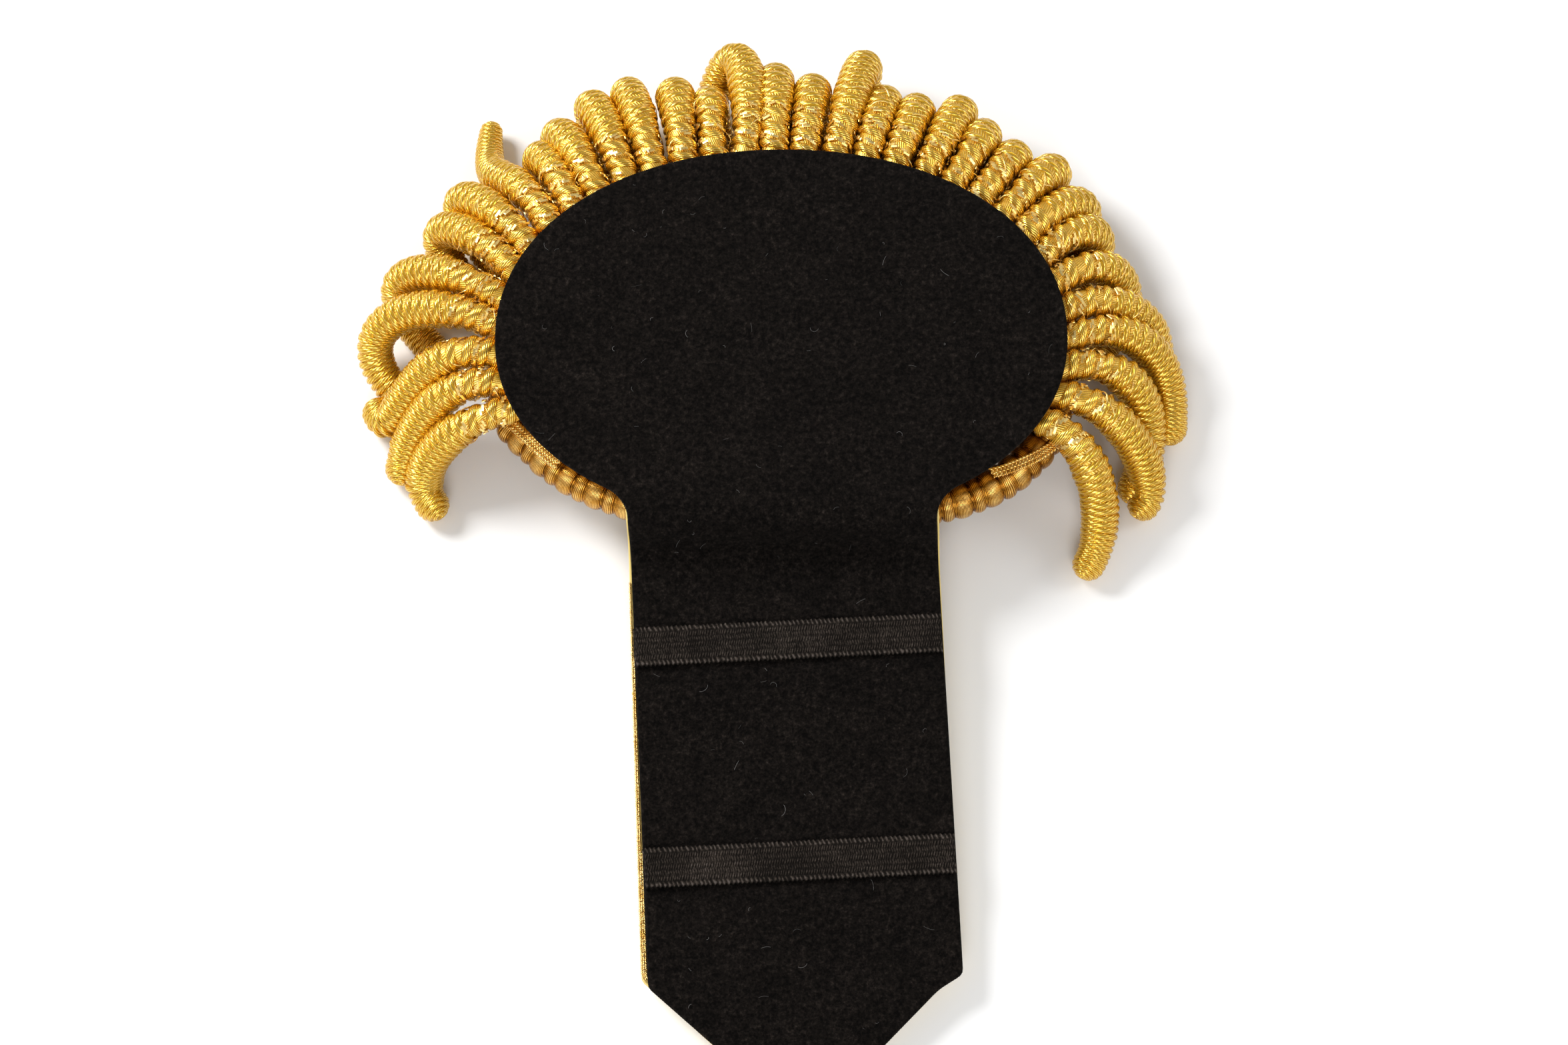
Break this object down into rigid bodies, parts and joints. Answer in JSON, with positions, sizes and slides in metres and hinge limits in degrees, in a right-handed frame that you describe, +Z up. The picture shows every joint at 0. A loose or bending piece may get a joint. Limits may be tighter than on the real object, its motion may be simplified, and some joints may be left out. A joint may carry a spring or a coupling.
{
  "type": "bullion epaulette",
  "caption": "Dress epaulette lying on its gold face: oval felt-backed pad with a wire-wrapped crescent roll and a fringe of gold bullion coils, and a pointed strap with elastic bands.",
  "frame": {"origin": "middle of the whole epaulette's box, on the surface that it lies on", "axes": "+Z up, away from the surface and out of the felt; +Y from the strap to the pad's fringed outer edge; +X to the right across the pad, seen from above"},
  "size_m": [0.1716, 0.2307, 0.0239],
  "materials": {
    "felt": "matt black wool felt",
    "gold_lace": "woven gold lace over a stiff board",
    "gold_wire": "fine gilt wire wound over padding",
    "gold_braid": "flat herringbone braid of gilt wire",
    "gold_bullion": "coiled cord of bright gilt wire",
    "elastic": "black ribbed elastic webbing"
  },
  "bodies": {
    "root": {"felt_backing": "felt", "lace_board": "gold_lace", "crescent_roll": "gold_wire", "edge_braid_left": "gold_braid", "edge_braid_right": "gold_braid", "bullion_fringe": "gold_bullion", "elastic_upper": "elastic", "elastic_lower": "elastic"}
  },
  "joints": []
}
